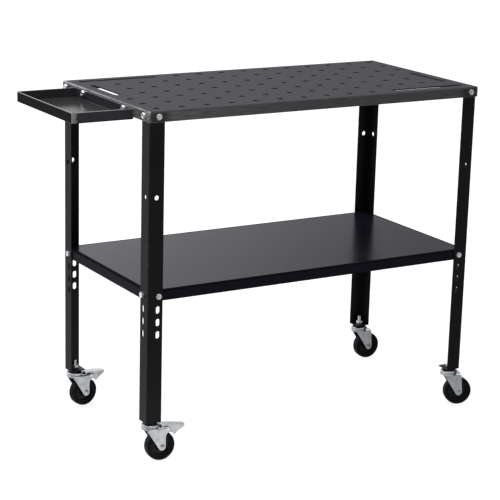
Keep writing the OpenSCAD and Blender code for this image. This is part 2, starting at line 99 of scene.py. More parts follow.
# Stage. Places are metres in the table's own frame, powers are watts.
FLOOR_HALF = 30.0
FLOOR_SHADE = 0.28
FLOOR_GLOW = 0.93
LIT_TINT = (0.99, 0.98, 1.025)
LAMPS = (
    # name, place, aim, size, power
    ("light_above", (-0.4, 0.5, 3.2), (0.0, 0.0, 0.6), (2.6, 2.0), 20.0),
    ("light_left", (-3.2, 0.2, 1.6), (0.0, 0.0, 0.5), (1.8, 2.2), 2.5),
    ("light_front", (-1.4, -3.4, 2.2), (0.0, 0.0, 0.4), (2.0, 1.6), 9.0),
    ("light_low", (-0.16, -0.20, 0.002), (-0.16, -0.20, 1.0), (0.62, 0.80), 0.9),
)
CAMERA_AIM = Vector((TOP_MIDDLE.x - 0.0511, TOP_MIDDLE.y, TOP_HIGH.z - 0.417))
CAMERA_AZIMUTH = math.radians(-31.06)
CAMERA_ELEVATION = math.radians(14.94)
CAMERA_ROLL = math.radians(1.553)
CAMERA_DISTANCE = 4.245
CAMERA_LENS = 122.29
CAMERA_SENSOR = 36.0


def colour_setting(name, description, default):
    """A colour that a user may change."""
    return FloatVectorProperty(
        name=name, description=description, default=default, subtype="COLOR", size=3, min=0.0, max=1.0
    )


def length_setting(name, description, default, low, high):
    """A length that a user may change."""
    return FloatProperty(
        name=name, description=description, default=default, min=low, max=high, subtype="DISTANCE",
        unit="LENGTH", precision=5,
    )


class TableColours(PropertyGroup):
    """Colours of the table's coats and metals."""

    top: colour_setting("Top coat", "Charcoal coat of the top", (0.024, 0.023, 0.028))
    bare: colour_setting("Bare steel", "Steel where the coat is ground or rubbed away", (0.42, 0.41, 0.40))
    heat: colour_setting("Heat tint", "Brown heat mark beside a ground weld", (0.20, 0.12, 0.07))
    legs: colour_setting("Leg coat", "Black coat of the legs", (0.0048, 0.0048, 0.0049))
    shelf: colour_setting("Shelf coat", "Black coat of the shelf", (0.0062, 0.0054, 0.0100))
    tray: colour_setting("Tray coat", "Black coat of the side tray", (0.030, 0.029, 0.0325))
    zinc: colour_setting("Zinc", "Zinc plating of casters and fasteners", (0.51, 0.535, 0.54))
    spring: colour_setting("Spring steel", "Plain steel of the brake springs", (0.30, 0.30, 0.32))
    rubber: colour_setting("Tyre", "Hard rubber of the tyres", (0.0035, 0.0035, 0.0035))
    plastic: colour_setting("Plastic", "Black plastic of wheel cores and spacers", (0.005, 0.005, 0.005))
    floor: colour_setting("Floor", "Floor of the stage", (0.90, 0.90, 0.90))


class TableSizes(PropertyGroup):
    """Sizes of the table's fine details."""

    edge_round: length_setting("Edge rounding", "Rounding of cut edges", 0.35 * MM, 0.05 * MM, 1.0 * MM)
    small_round: length_setting("Fastener rounding", "Rounding of edges on small steel parts",
                                0.2 * MM, 0.05 * MM, 0.5 * MM)
    weld_width: length_setting("Weld width", "Width of a weld bead", 4.0 * MM, 2.0 * MM, 6.0 * MM)
    weld_ripple: length_setting("Weld ripple", "Distance between the ripples of a weld",
                                1.3 * MM, 0.6 * MM, 3.0 * MM)
    tyre_crown: length_setting("Tyre crown", "How much the tread is crowned", 0.5 * MM, 0.0, 2.0 * MM)
    tyre_steps: IntProperty(
        name="Tyre steps", description="Steps round a tyre", default=128, min=48, max=256
    )


class Finish:
    """Node tree of one finish. Its lengths are metres in the table's own frame."""

    def __init__(self, name, colour, metallic=0.0, roughness=0.5, specular=0.5):
        self.material = bpy.data.materials.new(name)
        self.material.use_nodes = True
        self.material.diffuse_color = (*colour, 1.0)
        self.tree = self.material.node_tree
        self.shader = self.tree.nodes["Principled BSDF"]
        self.shader.inputs["Base Color"].default_value = (*colour, 1.0)
        self.shader.inputs["Metallic"].default_value = metallic
        self.shader.inputs["Roughness"].default_value = roughness
        self.shader.inputs["Specular IOR Level"].default_value = specular
        self.place = self.node("ShaderNodeTexCoord").outputs["Object"]
        split = self.node("ShaderNodeSeparateXYZ")
        self.tree.links.new(self.place, split.inputs[0])
        self.x, self.y, self.z = split.outputs

    def node(self, kind, **settings):
        """A new node with these settings."""
        made = self.tree.nodes.new(kind)
        for key, value in settings.items():
            setattr(made, key, value)
        return made

    def feed(self, socket, value):
        """Links or sets one input."""
        if isinstance(value, bpy.types.NodeSocket):
            self.tree.links.new(value, socket)
        elif hasattr(value, "__len__") and len(value) == 3 and socket.type == "RGBA":
            socket.default_value = (*value, 1.0)
        else:
            socket.default_value = value

    def calc(self, operation, first, second=0.0):
        """One sum."""
        made = self.node("ShaderNodeMath", operation=operation)
        self.feed(made.inputs[0], first)
        self.feed(made.inputs[1], second)
        return made.outputs[0]

    def product(self, *values):
        """All the values multiplied together."""
        found = values[0]
        for value in values[1:]:
            found = self.calc("MULTIPLY", found, value)
        return found

    def rise(self, value, low, high):
        """0 below low, 1 above high, smooth between."""
        made = self.node("ShaderNodeMapRange", interpolation_type="SMOOTHSTEP")
        self.feed(made.inputs["Value"], value)
        made.inputs["From Min"].default_value = low
        made.inputs["From Max"].default_value = high
        return made.outputs[0]

    def fall(self, value, low, high):
        """1 below low, 0 above high, smooth between."""
        return self.calc("SUBTRACT", 1.0, self.rise(value, low, high))

    def grain(self, size, stretch=(1.0, 1.0, 1.0), detail=2.0, shift=0.0):
        """Noise whose lumps are about size wide, longer where stretch is more than 1."""
        sized = self.node("ShaderNodeVectorMath", operation="MULTIPLY")
        self.tree.links.new(self.place, sized.inputs[0])
        sized.inputs[1].default_value = [1.0 / (size * s) for s in stretch]
        moved = self.node("ShaderNodeVectorMath", operation="ADD")
        self.tree.links.new(sized.outputs[0], moved.inputs[0])
        moved.inputs[1].default_value = (shift, shift * 1.7, shift * 0.6)
        made = self.node("ShaderNodeTexNoise")
        self.tree.links.new(moved.outputs[0], made.inputs["Vector"])
        made.inputs["Scale"].default_value = 1.0
        made.inputs["Detail"].default_value = detail
        return made.outputs[0]

    def mix(self, share, first, second):
        """One colour turning into another."""
        made = self.node("ShaderNodeMix", data_type="RGBA")
        self.feed(made.inputs["Factor"], share)
        self.feed(made.inputs[6], first)
        self.feed(made.inputs[7], second)
        return made.outputs[2]

    def level(self, share, first, second):
        """One number turning into another."""
        made = self.node("ShaderNodeMix", data_type="FLOAT")
        self.feed(made.inputs[0], share)
        self.feed(made.inputs[2], first)
        self.feed(made.inputs[3], second)
        return made.outputs[0]

    def relief(self, *layers):
        """Bumps on top of each other: each layer is a height from 0 to 1 and its depth."""
        normal = None
        for height, depth in layers:
            made = self.node("ShaderNodeBump")
            made.inputs["Strength"].default_value = 1.0
            made.inputs["Distance"].default_value = depth
            self.feed(made.inputs["Height"], height)
            if normal is not None:
                self.tree.links.new(normal, made.inputs["Normal"])
            normal = made.outputs[0]
        self.tree.links.new(normal, self.shader.inputs["Normal"])

    def surface(self, colour, roughness, metallic=None):
        """Feeds the shader's colour, roughness and metal share."""
        self.feed(self.shader.inputs["Base Color"], colour)
        self.feed(self.shader.inputs["Roughness"], roughness)
        if metallic is not None:
            self.feed(self.shader.inputs["Metallic"], metallic)


def scaled(colour, factor):
    """A colour made lighter or darker."""
    return tuple(min(1.0, part * factor) for part in colour)


def edge_distance(finish, low, high):
    """Sockets for the distances in from the nearest end and the nearest side of a box, in plan."""
    middle = (low + high) / 2
    half = (high - low) / 2
    along = finish.calc("ABSOLUTE", finish.calc("SUBTRACT", finish.x, middle.x))
    from_end = finish.calc("SUBTRACT", half.x, along)
    across = finish.calc("ABSOLUTE", finish.calc("SUBTRACT", finish.y, middle.y))
    from_side = finish.calc("SUBTRACT", half.y, across)
    return from_end, from_side


def top_finish(name, colours):
    """Charcoal coat, brushed along the rim, rubbed bare along the bends and ground at the corners."""
    finish = Finish(name, colours.top, 0.0, 0.5, 0.15)
    from_end, from_side = edge_distance(finish, TOP_LOW, TOP_HIGH)
    below = finish.calc("SUBTRACT", TOP_HIGH.z, finish.z)
    bend = finish.calc("ADD", finish.calc("MINIMUM", from_end, from_side), below)
    corner = finish.calc("ADD", from_end, from_side)
    rim = finish.rise(below, 2.0 * MM, 4.5 * MM)
    left = finish.fall(finish.x, TOP_LOW.x + 2 * MM, TOP_LOW.x + 5 * MM)
    clouds = finish.grain(110 * MM, detail=4.0)
    specks = finish.grain(0.9 * MM, detail=1.0)
    patches = finish.grain(14 * MM, detail=5.0, shift=3.1)
    flecks = finish.grain(3.2 * MM, detail=4.0, shift=7.7)
    streaks = finish.grain(0.5 * MM, stretch=(90.0, 90.0, 1.0), detail=3.0)
    scratches = finish.grain(0.7 * MM, stretch=(60.0, 1.0, 1.0), detail=2.0, shift=5.0)

    # Coat: cloudy and speckled on top, brushed bright and dark along the rim, darker over the legs; painted light
    # makes the rim's bright streaks stronger towards its left end.
    coat = finish.mix(finish.rise(clouds, 0.3, 0.7), scaled(colours.top, 0.88), scaled(colours.top, 1.10))
    speckled = finish.product(finish.rise(specks, 0.55, 0.75), 0.35)
    coat = finish.mix(speckled, coat, scaled(colours.top, 1.5))
    # Painted light: more bright streaks at the rim's left end, standing in for it being lit more from the left.
    painted_left_light = finish.level(finish.rise(finish.x, TOP_LOW.x, TOP_MIDDLE.x), 1.0, 0.45)
    brushed = finish.mix(finish.product(finish.rise(streaks, 0.34, 0.66), painted_left_light),
                         scaled(colours.bare, 0.068), scaled(colours.bare, 0.36))
    coat = finish.mix(rim, coat, brushed)
    over_leg = finish.product(rim, finish.fall(corner, 34 * MM, 64 * MM), 0.75)
    coat = finish.mix(over_leg, coat, scaled(colours.bare, 0.035))

    # Bare steel: rubbed bends and lower edge, ground corners, a wiped strip and a chipped corner.
    along = finish.level(finish.rise(finish.y, TOP_LOW.y, TOP_HIGH.y), 0.22, 0.60)
    rub = finish.product(finish.fall(bend, 2.6 * MM, 4.4 * MM), finish.level(left, 0.06, along))
    rub = finish.product(rub, finish.rise(patches, 0.15, 0.50))
    foot = finish.product(finish.rise(below, 24.2 * MM, 25.2 * MM), 0.25)
    front_left = finish.product(left, finish.fall(finish.y, TOP_LOW.y + 74 * MM, TOP_LOW.y + 90 * MM))
    near = finish.calc("MAXIMUM", finish.fall(corner, 2 * MM, 6 * MM), front_left)
    ground = finish.product(near, finish.rise(flecks, 0.45, 0.64), 0.7)
    wipe = finish.product(left, finish.fall(finish.y, TOP_LOW.y + 10 * MM, TOP_LOW.y + 15 * MM), 0.25)
    wipe = finish.product(wipe, finish.rise(finish.y, TOP_LOW.y + 1 * MM, TOP_LOW.y + 4 * MM))
    chip = finish.product(finish.fall(finish.calc("ADD", corner, below), 4 * MM, 8 * MM), left)
    bare = finish.calc("MAXIMUM", finish.calc("MAXIMUM", rub, foot), ground)
    bare = finish.calc("MAXIMUM", finish.calc("MAXIMUM", bare, wipe), chip)
    tint = finish.product(front_left, finish.rise(patches, 0.46, 0.60), 0.25)

    colour = finish.mix(bare, coat, colours.bare)
    colour = finish.mix(tint, colour, colours.heat)
    gloss = finish.level(rim, finish.level(clouds, 0.62, 0.74), finish.level(streaks, 0.30, 0.52))
    gloss = finish.level(bare, gloss, 0.34)
    finish.surface(colour, gloss, finish.level(bare, finish.product(rim, 0.35), 0.9))
    finish.relief(
        (finish.level(rim, specks, streaks), 0.02 * MM),
        (finish.product(scratches, finish.calc("SUBTRACT", 1.0, rim)), 0.006 * MM),
        (finish.product(ground, flecks), 0.08 * MM),
    )
    return finish.material


def coat_finish(name, colour, gloss, specular, bare, rub=None, painted_shades=()):
    """Powder coat with fine orange peel and faint clouds.

    Each of the shades is a place darkened as painted shade, its share of the colour and its roughness; rub is the
    place worn bare, and on the tray it also holds a painted highlight.
    """
    finish = Finish(name, colour, 0.0, gloss, specular)
    clouds = finish.grain(90 * MM, detail=4.0, shift=1.3)
    peel = finish.grain(1.1 * MM, detail=2.0)
    dust = finish.grain(0.35 * MM, detail=1.0, shift=2.2)
    coat = finish.mix(finish.rise(clouds, 0.3, 0.7), scaled(colour, 0.85), scaled(colour, 1.15))
    coat = finish.mix(finish.product(finish.rise(dust, 0.62, 0.74), 0.4), coat, scaled(colour, 2.2))
    rough = finish.level(clouds, gloss - 0.05, gloss + 0.05)
    metal = 0.0
    # Painted shade: each place gets a darker copy of the coat and its own roughness.
    for place, share, shade_gloss in painted_shades:
        mask = place(finish)
        coat = finish.mix(mask, coat, scaled(colour, share))
        rough = finish.level(mask, rough, shade_gloss)
    if rub is not None:
        mask = rub(finish)
        coat = finish.mix(mask, coat, bare)
        rough = finish.level(mask, rough, 0.32)
        metal = finish.product(mask, 0.9)
    finish.surface(coat, rough, metal)
    finish.relief((peel, 0.035 * MM), (dust, 0.01 * MM))
    return finish.material


def leg_rub(finish):
    """Rubbed line down each leg's outer corner."""
    from_end, from_side = edge_distance(finish, TOP_LOW, TOP_HIGH)
    corner = finish.calc("ADD", from_end, from_side)
    line = finish.fall(corner, 7.6 * MM, 9.2 * MM)
    chips = finish.grain(5 * MM, stretch=(1.0, 1.0, 4.0), detail=5.0)
    return finish.product(line, finish.rise(chips, 0.55, 0.72), 0.10)


def shelf_bends_painted_shade(finish):
    """Duller band where the shelf turns down along its edges, darkened there as painted shade; lower down, on the
    rims, the band counts for less.
    """
    from_end, from_side = edge_distance(finish, SHELF_LOW, SHELF_HIGH)
    edge = finish.fall(finish.calc("MINIMUM", from_end, from_side), 6 * MM, 9 * MM)
    upper = finish.rise(finish.z, SHELF_HIGH.z - 5 * MM, SHELF_HIGH.z - 2 * MM)
    return finish.product(edge, finish.level(upper, 0.4, 1.0))


def tray_end_painted_shade(finish):
    """Outer face of the tray's end wall, where the coat is darkened as painted shade."""
    return finish.fall(finish.x, TRAY_LOW.x + 0.5 * MM, TRAY_LOW.x + 0.9 * MM)


def tray_floor_painted_shade(finish):
    """Upper face of the tray's floor, where the coat is darkened as painted shade and made glossier."""
    return finish.fall(finish.z, TRAY_LOW.z + 2 * MM, TRAY_LOW.z + 3 * MM)


def tray_rub_and_painted_highlight(finish):
    """Bare upper edges, ground corners, a rubbed patch on the front wall, and a painted highlight along the inner
    bend round the floor.
    """
    from_end, from_side = edge_distance(finish, TRAY_LOW, TRAY_HIGH)
    below = finish.calc("SUBTRACT", TRAY_HIGH.z, finish.z)
    chips = finish.grain(7 * MM, detail=4.0, shift=4.0)
    lip = finish.product(finish.fall(below, 0.9 * MM, 1.7 * MM), finish.rise(chips, 0.22, 0.5), 0.75)
    outer = finish.fall(finish.calc("MINIMUM", from_end, from_side), 0.3 * MM, 0.8 * MM)
    corner = finish.calc("ADD", from_end, from_side)
    edge = finish.product(outer, finish.fall(corner, 1.4 * MM, 2.6 * MM), 0.65)
    wobble = finish.product(finish.calc("SUBTRACT", chips, 0.5), 16 * MM)
    across = finish.calc("ADD", finish.calc("SUBTRACT", finish.x, TRAY_LOW.x), wobble)
    front = finish.fall(finish.y, TRAY_LOW.y + 0.3 * MM, TRAY_LOW.y + 0.9 * MM)
    flecks = finish.grain(2.2 * MM, stretch=(1.0, 1.0, 3.0), detail=4.0, shift=6.0)
    patch = finish.product(front, finish.fall(across, 10 * MM, 12 * MM), finish.level(flecks, 0.15, 0.6))
    # Painted highlight: a faint bare-steel line along the inner bend where the floor meets the walls.
    from_floor_bend = finish.calc("ABSOLUTE", finish.calc("SUBTRACT", finish.z, TRAY_LOW.z + 2.2 * MM))
    within = finish.rise(finish.calc("MINIMUM", from_end, from_side), 1.2 * MM, 1.6 * MM)
    painted_bend_highlight = finish.product(finish.fall(from_floor_bend, 0.4 * MM, 1.0 * MM), within, 0.12)
    marks = finish.calc("MAXIMUM", finish.calc("MAXIMUM", lip, edge), patch)
    return finish.calc("MAXIMUM", marks, painted_bend_highlight)


def zinc_finish(name, colour, streak_size, gloss):
    """Bright zinc plate: cloudy crystals, soft drawing streaks and a little stain."""
    finish = Finish(name, colour, 1.0, gloss, 0.5)
    clouds = finish.grain(16 * MM, detail=2.0)
    crystals = finish.grain(0.8 * MM, detail=2.0, shift=2.0)
    streaks = finish.grain(streak_size, stretch=(1.0, 1.0, 14.0), detail=2.0, shift=3.0)
    plate = finish.mix(finish.rise(clouds, 0.3, 0.7), scaled(colour, 0.80), scaled(colour, 1.12))
    plate = finish.mix(finish.product(finish.rise(crystals, 0.5, 0.8), 0.06), plate, scaled(colour, 0.72))
    plate = finish.mix(finish.product(finish.rise(streaks, 0.45, 0.75), 0.3), plate, scaled(colour, 1.25))
    finish.surface(plate, finish.level(clouds, gloss - 0.08, gloss + 0.10))
    finish.relief((streaks, 0.008 * MM), (crystals, 0.0008 * MM))
    return finish.material


def steel_finish(name, colour, gloss, grain_size):
    """Plain worked steel with fine grain."""
    finish = Finish(name, colour, 1.0, gloss, 0.5)
    clouds = finish.grain(3 * MM, detail=3.0)
    grain = finish.grain(grain_size, detail=2.0)
    finish.surface(
        finish.mix(clouds, scaled(colour, 0.8), scaled(colour, 1.15)),
        finish.level(grain, max(0.05, gloss - 0.06), gloss + 0.06),
    )
    finish.relief((grain, 0.006 * MM))
    return finish.material


def moulded_finish(name, colour, gloss, specular, depth):
    """Moulded rubber or plastic: fine spark texture, dusty scuffs."""
    finish = Finish(name, colour, 0.0, gloss, specular)
    spark = finish.grain(0.45 * MM, detail=2.0)
    scuffs = finish.grain(5 * MM, detail=6.0, shift=1.0)
    worn = finish.rise(scuffs, 0.50, 0.72)
    finish.surface(
        finish.mix(finish.product(worn, 0.6), colour, scaled(colour, 3.0)),
        finish.level(worn, gloss, min(1.0, gloss + 0.18)),
    )
    finish.relief((spark, depth), (scuffs, 2 * depth))
    return finish.material


def finishes(slot):
    """The finish of one of the record's material slots, made on first use."""
    colours = bpy.context.scene.table_colours
    bare = tuple(colours.bare)
    zinc = tuple(colours.zinc)
    plastic = tuple(colours.plastic)
    # Painted shade: darker coat on the shelf's bends and rims and on the tray's end wall and floor.
    shelf_painted_shades = ((shelf_bends_painted_shade, 0.4, 0.9),)
    tray_painted_shades = ((tray_end_painted_shade, 0.4, 0.8), (tray_floor_painted_shade, 0.22, 0.12))
    kinds = {
        "top_steel": ("charcoal_top_coat", top_finish, colours),
        "leg_coat": ("black_leg_coat", coat_finish, tuple(colours.legs), 0.42, 0.12, bare, leg_rub),
        "shelf_coat": ("black_shelf_coat", coat_finish, tuple(colours.shelf), 0.22, 0.058, bare, None,
                       shelf_painted_shades),
        "tray_coat": ("black_tray_coat", coat_finish, tuple(colours.tray), 0.20, 0.022, bare, tray_rub_and_painted_highlight,
                      tray_painted_shades),
        "zinc_stamping": ("zinc_stamping_plate", zinc_finish, zinc, 1.2 * MM, 0.22),
        "zinc_fastener": ("zinc_fastener_plate", zinc_finish, scaled(zinc, 1.65), 0.6 * MM, 0.40),
        "spring_steel": ("brake_spring_steel", steel_finish, tuple(colours.spring), 0.34, 0.6 * MM),
        "ball_steel": ("polished_ball_steel", steel_finish, (0.75, 0.75, 0.77), 0.12, 0.3 * MM),
        "bush_steel": ("turned_bush_steel", steel_finish, (0.50, 0.50, 0.52), 0.30, 0.2 * MM),
        "black_plastic": ("black_spacer_plastic", moulded_finish, plastic, 0.42, 0.15, 0.01 * MM),
        "wheel_plastic": ("black_wheel_plastic", moulded_finish, plastic, 0.40, 0.15, 0.015 * MM),
        "tyre_rubber": ("black_tyre_rubber", moulded_finish, tuple(colours.rubber), 0.46, 0.06, 0.02 * MM),
    }
    name, maker, *settings = kinds[slot]
    found = bpy.data.materials.get(name)
    return found if found is not None else maker(name, *settings)


def joining_group():
    """Geometry nodes that join a CAD mesh's split corners and shade it smooth."""
    found = bpy.data.node_groups.get("join_and_smooth")
    if found is not None:
        return found
    group = bpy.data.node_groups.new("join_and_smooth", "GeometryNodeTree")
    group.interface.new_socket("Geometry", in_out="INPUT", socket_type="NodeSocketGeometry")
    group.interface.new_socket("Geometry", in_out="OUTPUT", socket_type="NodeSocketGeometry")
    steps = [group.nodes.new("NodeGroupInput")]
    joined = group.nodes.new("GeometryNodeMergeByDistance")
    joined.inputs["Distance"].default_value = JOIN_DISTANCE
    steps.append(joined)
    for attribute in ("custom_normal", "sharp_edge"):
        removed = group.nodes.new("GeometryNodeRemoveAttribute")
        removed.inputs["Name"].default_value = attribute
        steps.append(removed)
    steps.append(group.nodes.new("GeometryNodeSetShadeSmooth"))
    steps.append(group.nodes.new("NodeGroupOutput"))
    for before, after in zip(steps, steps[1:]):
        group.links.new(before.outputs[0], after.inputs[0])
    return group


def dress(node, rounding, look=None):
    """Gives a CAD node its slot's finish, or another look, and rounds its cut edges with modifiers."""
    piece = NODES[node]
    slot = next(part["material_slot"] for part in frame["record"]["subparts"] if part["node"] == node)
    for holder in piece.material_slots:
        holder.material = finishes(look or slot)
    joined = piece.modifiers.new("joined", "NODES")
    joined.node_group = joining_group()
    flat = piece.modifiers.new("flat", "DECIMATE")
    flat.decimate_type = "DISSOLVE"
    flat.angle_limit = FLAT_ANGLE
    rounded = piece.modifiers.new("rounded", "BEVEL")
    rounded.width = rounding
    rounded.segments = ROUND_STEPS
    rounded.limit_method = "ANGLE"
    rounded.angle_limit = CUT_EDGE_ANGLE
    rounded.use_clamp_overlap = True
    rounded.face_strength_mode = "FSTR_AFFECTED"
    shaded = piece.modifiers.new("shaded", "WEIGHTED_NORMAL")
    shaded.keep_sharp = False
    shaded.use_face_influence = True


def new_piece(name, mesh, slot, body):
    """A piece made here, with its finish, riding on its body."""
    data = bpy.data.meshes.new(name)
    mesh.to_mesh(data)
    mesh.free()
    for polygon in data.polygons:
        polygon.use_smooth = True
    data.materials.append(finishes(slot))
    piece = bpy.data.objects.new(name, data)
    bpy.context.scene.collection.objects.link(piece)
    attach(piece, body)
    return piece


def weld_bead(mesh, start, end, up, side, width, ripple, seed):
    """Adds one rippled weld bead from start to end; up and side span its section."""
    chance = random.Random(seed)
    along = end - start
    steps = max(6, int(along.length / (ripple / 4)))
    rings = []
    phase = chance.uniform(0.0, 6.28)
    lumps = [chance.uniform(-BEAD_LUMPS, BEAD_LUMPS) for _ in range(steps + 1)]
    for step in range(steps + 1):
        share = step / steps
        swell = 1.0 + BEAD_SWELL * abs(math.sin(phase + math.pi * share * along.length / ripple))
        ends = min(1.0, 6.0 * share + 0.25, 6.0 * (1.0 - share) + 0.25)
        size = width / 2 * swell * ends * (1.0 + lumps[step])
        centre = start + along * share
        ring = []
        for turn in range(BEAD_SIDES):
            angle = 2 * math.pi * turn / BEAD_SIDES
            outward = side * (size * math.cos(angle)) + up * (size * math.sin(angle))
            ring.append(mesh.verts.new(centre + outward))
        rings.append(ring)
    for first, second in zip(rings, rings[1:]):
        for turn in range(BEAD_SIDES):
            after = (turn + 1) % BEAD_SIDES
            mesh.faces.new((first[turn], first[after], second[after], second[turn]))
    mesh.faces.new(list(reversed(rings[0])))
    mesh.faces.new(rings[-1])


def corner_welds(name, slot, low, high, inside, bottom, top, width, first_seed):
    """A piece of four upright weld beads, one inside each corner of a folded sheet."""
    ripple = bpy.context.scene.table_sizes.weld_ripple
    middle = (low + high) / 2
    half = (high - low) / 2
    mesh = bmesh.new()
    for number, (sx, sy) in enumerate(((-1, -1), (1, -1), (-1, 1), (1, 1))):
        x = middle.x + sx * (half.x - inside)
        y = middle.y + sy * (half.y - inside)
        weld_bead(mesh, Vector((x, y, bottom)), Vector((x, y, top)), Vector((0, 1, 0)), Vector((1, 0, 0)),
                  width, ripple, first_seed + number)
    new_piece(name, mesh, slot, "frame")


def lathe(mesh, outline, centre, axis, steps):
    """Adds a closed ring: outline is radius and place along the axis, as a loop of points."""
    axis = axis.normalized()
    across = axis.cross(Vector((0, 0, 1))).normalized()
    upward = across.cross(axis).normalized()
    rings = []
    for step in range(steps):
        angle = 2 * math.pi * step / steps
        outward = across * math.cos(angle) + upward * math.sin(angle)
        ring = []
        for radius, place in outline:
            ring.append(mesh.verts.new(centre + outward * radius + axis * place))
        rings.append(ring)
    count = len(outline)
    for step in range(steps):
        first = rings[step]
        second = rings[(step + 1) % steps]
        for k in range(count):
            after = (k + 1) % count
            mesh.faces.new((first[k], second[k], second[after], first[after]))
    bmesh.ops.recalc_face_normals(mesh, faces=mesh.faces)


class TABLE_OT_tabletop(Operator):
    """Coats the top and welds its corners from inside"""

    bl_idname = "welding_table.tabletop"
    bl_label = "Finish the Top"

    def execute(self, context):
        sizes = context.scene.table_sizes
        dress("tabletop", sizes.edge_round)
        corner_welds("top_corner_welds", "top_steel", TOP_LOW, TOP_HIGH, TOP_SHEET + 0.6 * MM,
                     TOP_LOW.z + 0.5 * MM, TOP_HIGH.z - 5 * MM, 0.7 * sizes.weld_width, 0)
        return {"FINISHED"}


class TABLE_OT_shelf(Operator):
    """Coats the lower shelf"""

    bl_idname = "welding_table.shelf"
    bl_label = "Finish the Shelf"

    def execute(self, context):
        dress("shelf", context.scene.table_sizes.edge_round)
        return {"FINISHED"}


class TABLE_OT_side_tray(Operator):
    """Coats the side tray and welds its corners from inside"""

    bl_idname = "welding_table.side_tray"
    bl_label = "Finish the Side Tray"

    def execute(self, context):
        sizes = context.scene.table_sizes
        dress("side_tray", sizes.small_round)
        corner_welds("tray_corner_welds", "tray_coat", TRAY_LOW, TRAY_HIGH, THIN_SHEET + 0.4 * MM,
                     TRAY_LOW.z + 3 * MM, TRAY_HIGH.z - 0.8 * MM, 0.45 * sizes.weld_width, 20)
        return {"FINISHED"}


class TABLE_OT_legs(Operator):
    """Coats the legs and their foot plates, and welds the plates in"""

    bl_idname = "welding_table.legs"
    bl_label = "Finish the Legs"

    def execute(self, context):
        sizes = context.scene.table_sizes
        for node in LEGS:
            dress(node, sizes.edge_round)
        dress("foot_plates", sizes.edge_round)
        mesh = bmesh.new()
        for number, node in enumerate(LEGS):
            low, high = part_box(node)
            sx = -1 if low.x < TOP_MIDDLE.x else 1
            sy = -1 if low.y < TOP_MIDDLE.y else 1
            corner = Vector((low.x if sx < 0 else high.x, low.y if sy < 0 else high.y, FOOT_TOP))
            inward = Vector((-sx, 0, 0))
            backward = Vector((0, -sy, 0))
            lift = Vector((0, 0, PLATE_WELD_LIFT))
            for k, (run, off) in enumerate(((inward, backward), (backward, inward))):
                start = corner + run * PLATE_WELD_START + off * PLATE_WELD_INSIDE + lift
                end = corner + run * PLATE_WELD_END + off * PLATE_WELD_INSIDE + lift
                weld_bead(mesh, start, end, Vector((0, 0, 1)), off, 0.8 * sizes.weld_width,
                          sizes.weld_ripple, 40 + 2 * number + k)
        new_piece("foot_plate_welds", mesh, "leg_coat", "frame")
        return {"FINISHED"}


class TABLE_OT_fasteners(Operator):
    """Plates the bolts and nuts that hold the frame together"""

    bl_idname = "welding_table.fasteners"
    bl_label = "Finish the Bolts and Nuts"

    def execute(self, context):
        for node in FASTENERS:
            dress(node, context.scene.table_sizes.small_round)
        return {"FINISHED"}


class TABLE_OT_swivels(Operator):
    """Finishes the stems, spacers, races and balls of the casters"""

    bl_idname = "welding_table.swivels"
    bl_label = "Finish the Swivels"

    def execute(self, context):
        small = context.scene.table_sizes.small_round
        dress("stem_spacers", small)
        dress("swivel_balls", small)
        for corner in CORNERS:
            dress("stem_" + corner, small)
            dress("race_" + corner, small)
        return {"FINISHED"}


class TABLE_OT_forks(Operator):
    """Plates the forks, axles and bushes of the casters"""

    bl_idname = "welding_table.forks"
    bl_label = "Finish the Forks"

    def execute(self, context):
        sizes = context.scene.table_sizes
        for corner in CORNERS:
            dress("fork_" + corner, sizes.edge_round)
            dress("axle_" + corner, sizes.small_round, "bush_steel")
            dress("bush_" + corner, sizes.small_round)
        return {"FINISHED"}


class TABLE_OT_brakes(Operator):
    """Plates the brake pedals, their pins and springs"""

    bl_idname = "welding_table.brakes"
    bl_label = "Finish the Foot Brakes"

    def execute(self, context):
        sizes = context.scene.table_sizes
        for corner in ("fl", "bl"):
            dress("pedal_" + corner, sizes.edge_round)
            dress("pedal_pin_" + corner, sizes.small_round)
            dress("brake_spring_" + corner, sizes.small_round)
        return {"FINISHED"}


def tyre_outline(inner, outer, half, crown):
    """Section of a tyre as a loop of radius and place across it.

    The tread is crowned and has a mould line, the shoulders are round and each side has a groove.
    """
    points = []
    flat = half - TYRE_SHOULDER
    tread = outer - MOULD_LINE
    for k in range(-TREAD_STEPS, TREAD_STEPS + 1):
        share = k / TREAD_STEPS
        ridge = MOULD_LINE if k == 0 else 0.0
        points.append((tread - crown * share * share + ridge, flat * share))
    right = []
    for k in range(1, 7):
        angle = math.radians(15 * k)
        drop = TYRE_SHOULDER * (1 - math.cos(angle))
        right.append((tread - crown - drop, flat + TYRE_SHOULDER * math.sin(angle)))
    band = tread - crown - TYRE_SHOULDER
    for radius, inset in (
        (band - 0.6 * MM, 0.0), (band - 0.9 * MM, 0.35 * MM), (band - 1.5 * MM, 0.35 * MM),
        (band - 1.8 * MM, 0.0), (inner + 1.2 * MM, 0.0), (inner + 0.5 * MM, 0.3 * MM),
        (inner, 0.9 * MM),
    ):
        right.append((radius, half - inset))
    left = [(radius, -place) for radius, place in reversed(right)]
    return left + points + right


class TABLE_OT_wheels(Operator):
    """Moulds the tyres round the wheel cores"""

    bl_idname = "welding_table.wheels"
    bl_label = "Finish the Wheels"

    def execute(self, context):
        sizes = context.scene.table_sizes
        for corner in CORNERS:
            dress("wheel_core_" + corner, sizes.edge_round)
            joint = JOINTS["wheel_spin_" + corner]
            axis = Vector(joint["axis"])
            centre = Vector(joint["pos_m"])
            points = [vertex.co - centre for vertex in NODES["tyre_" + corner].data.vertices]
            half = max(abs(point.dot(axis)) for point in points)
            radii = [(point - axis * point.dot(axis)).length for point in points]
            mesh = bmesh.new()
            lathe(mesh, tyre_outline(min(radii), max(radii), half, sizes.tyre_crown), centre, axis,
                  sizes.tyre_steps)
            piece = new_piece("moulded_tyre_" + corner, mesh, "tyre_rubber", "wheel_" + corner)
            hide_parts("tyre_" + corner)
        return {"FINISHED"}


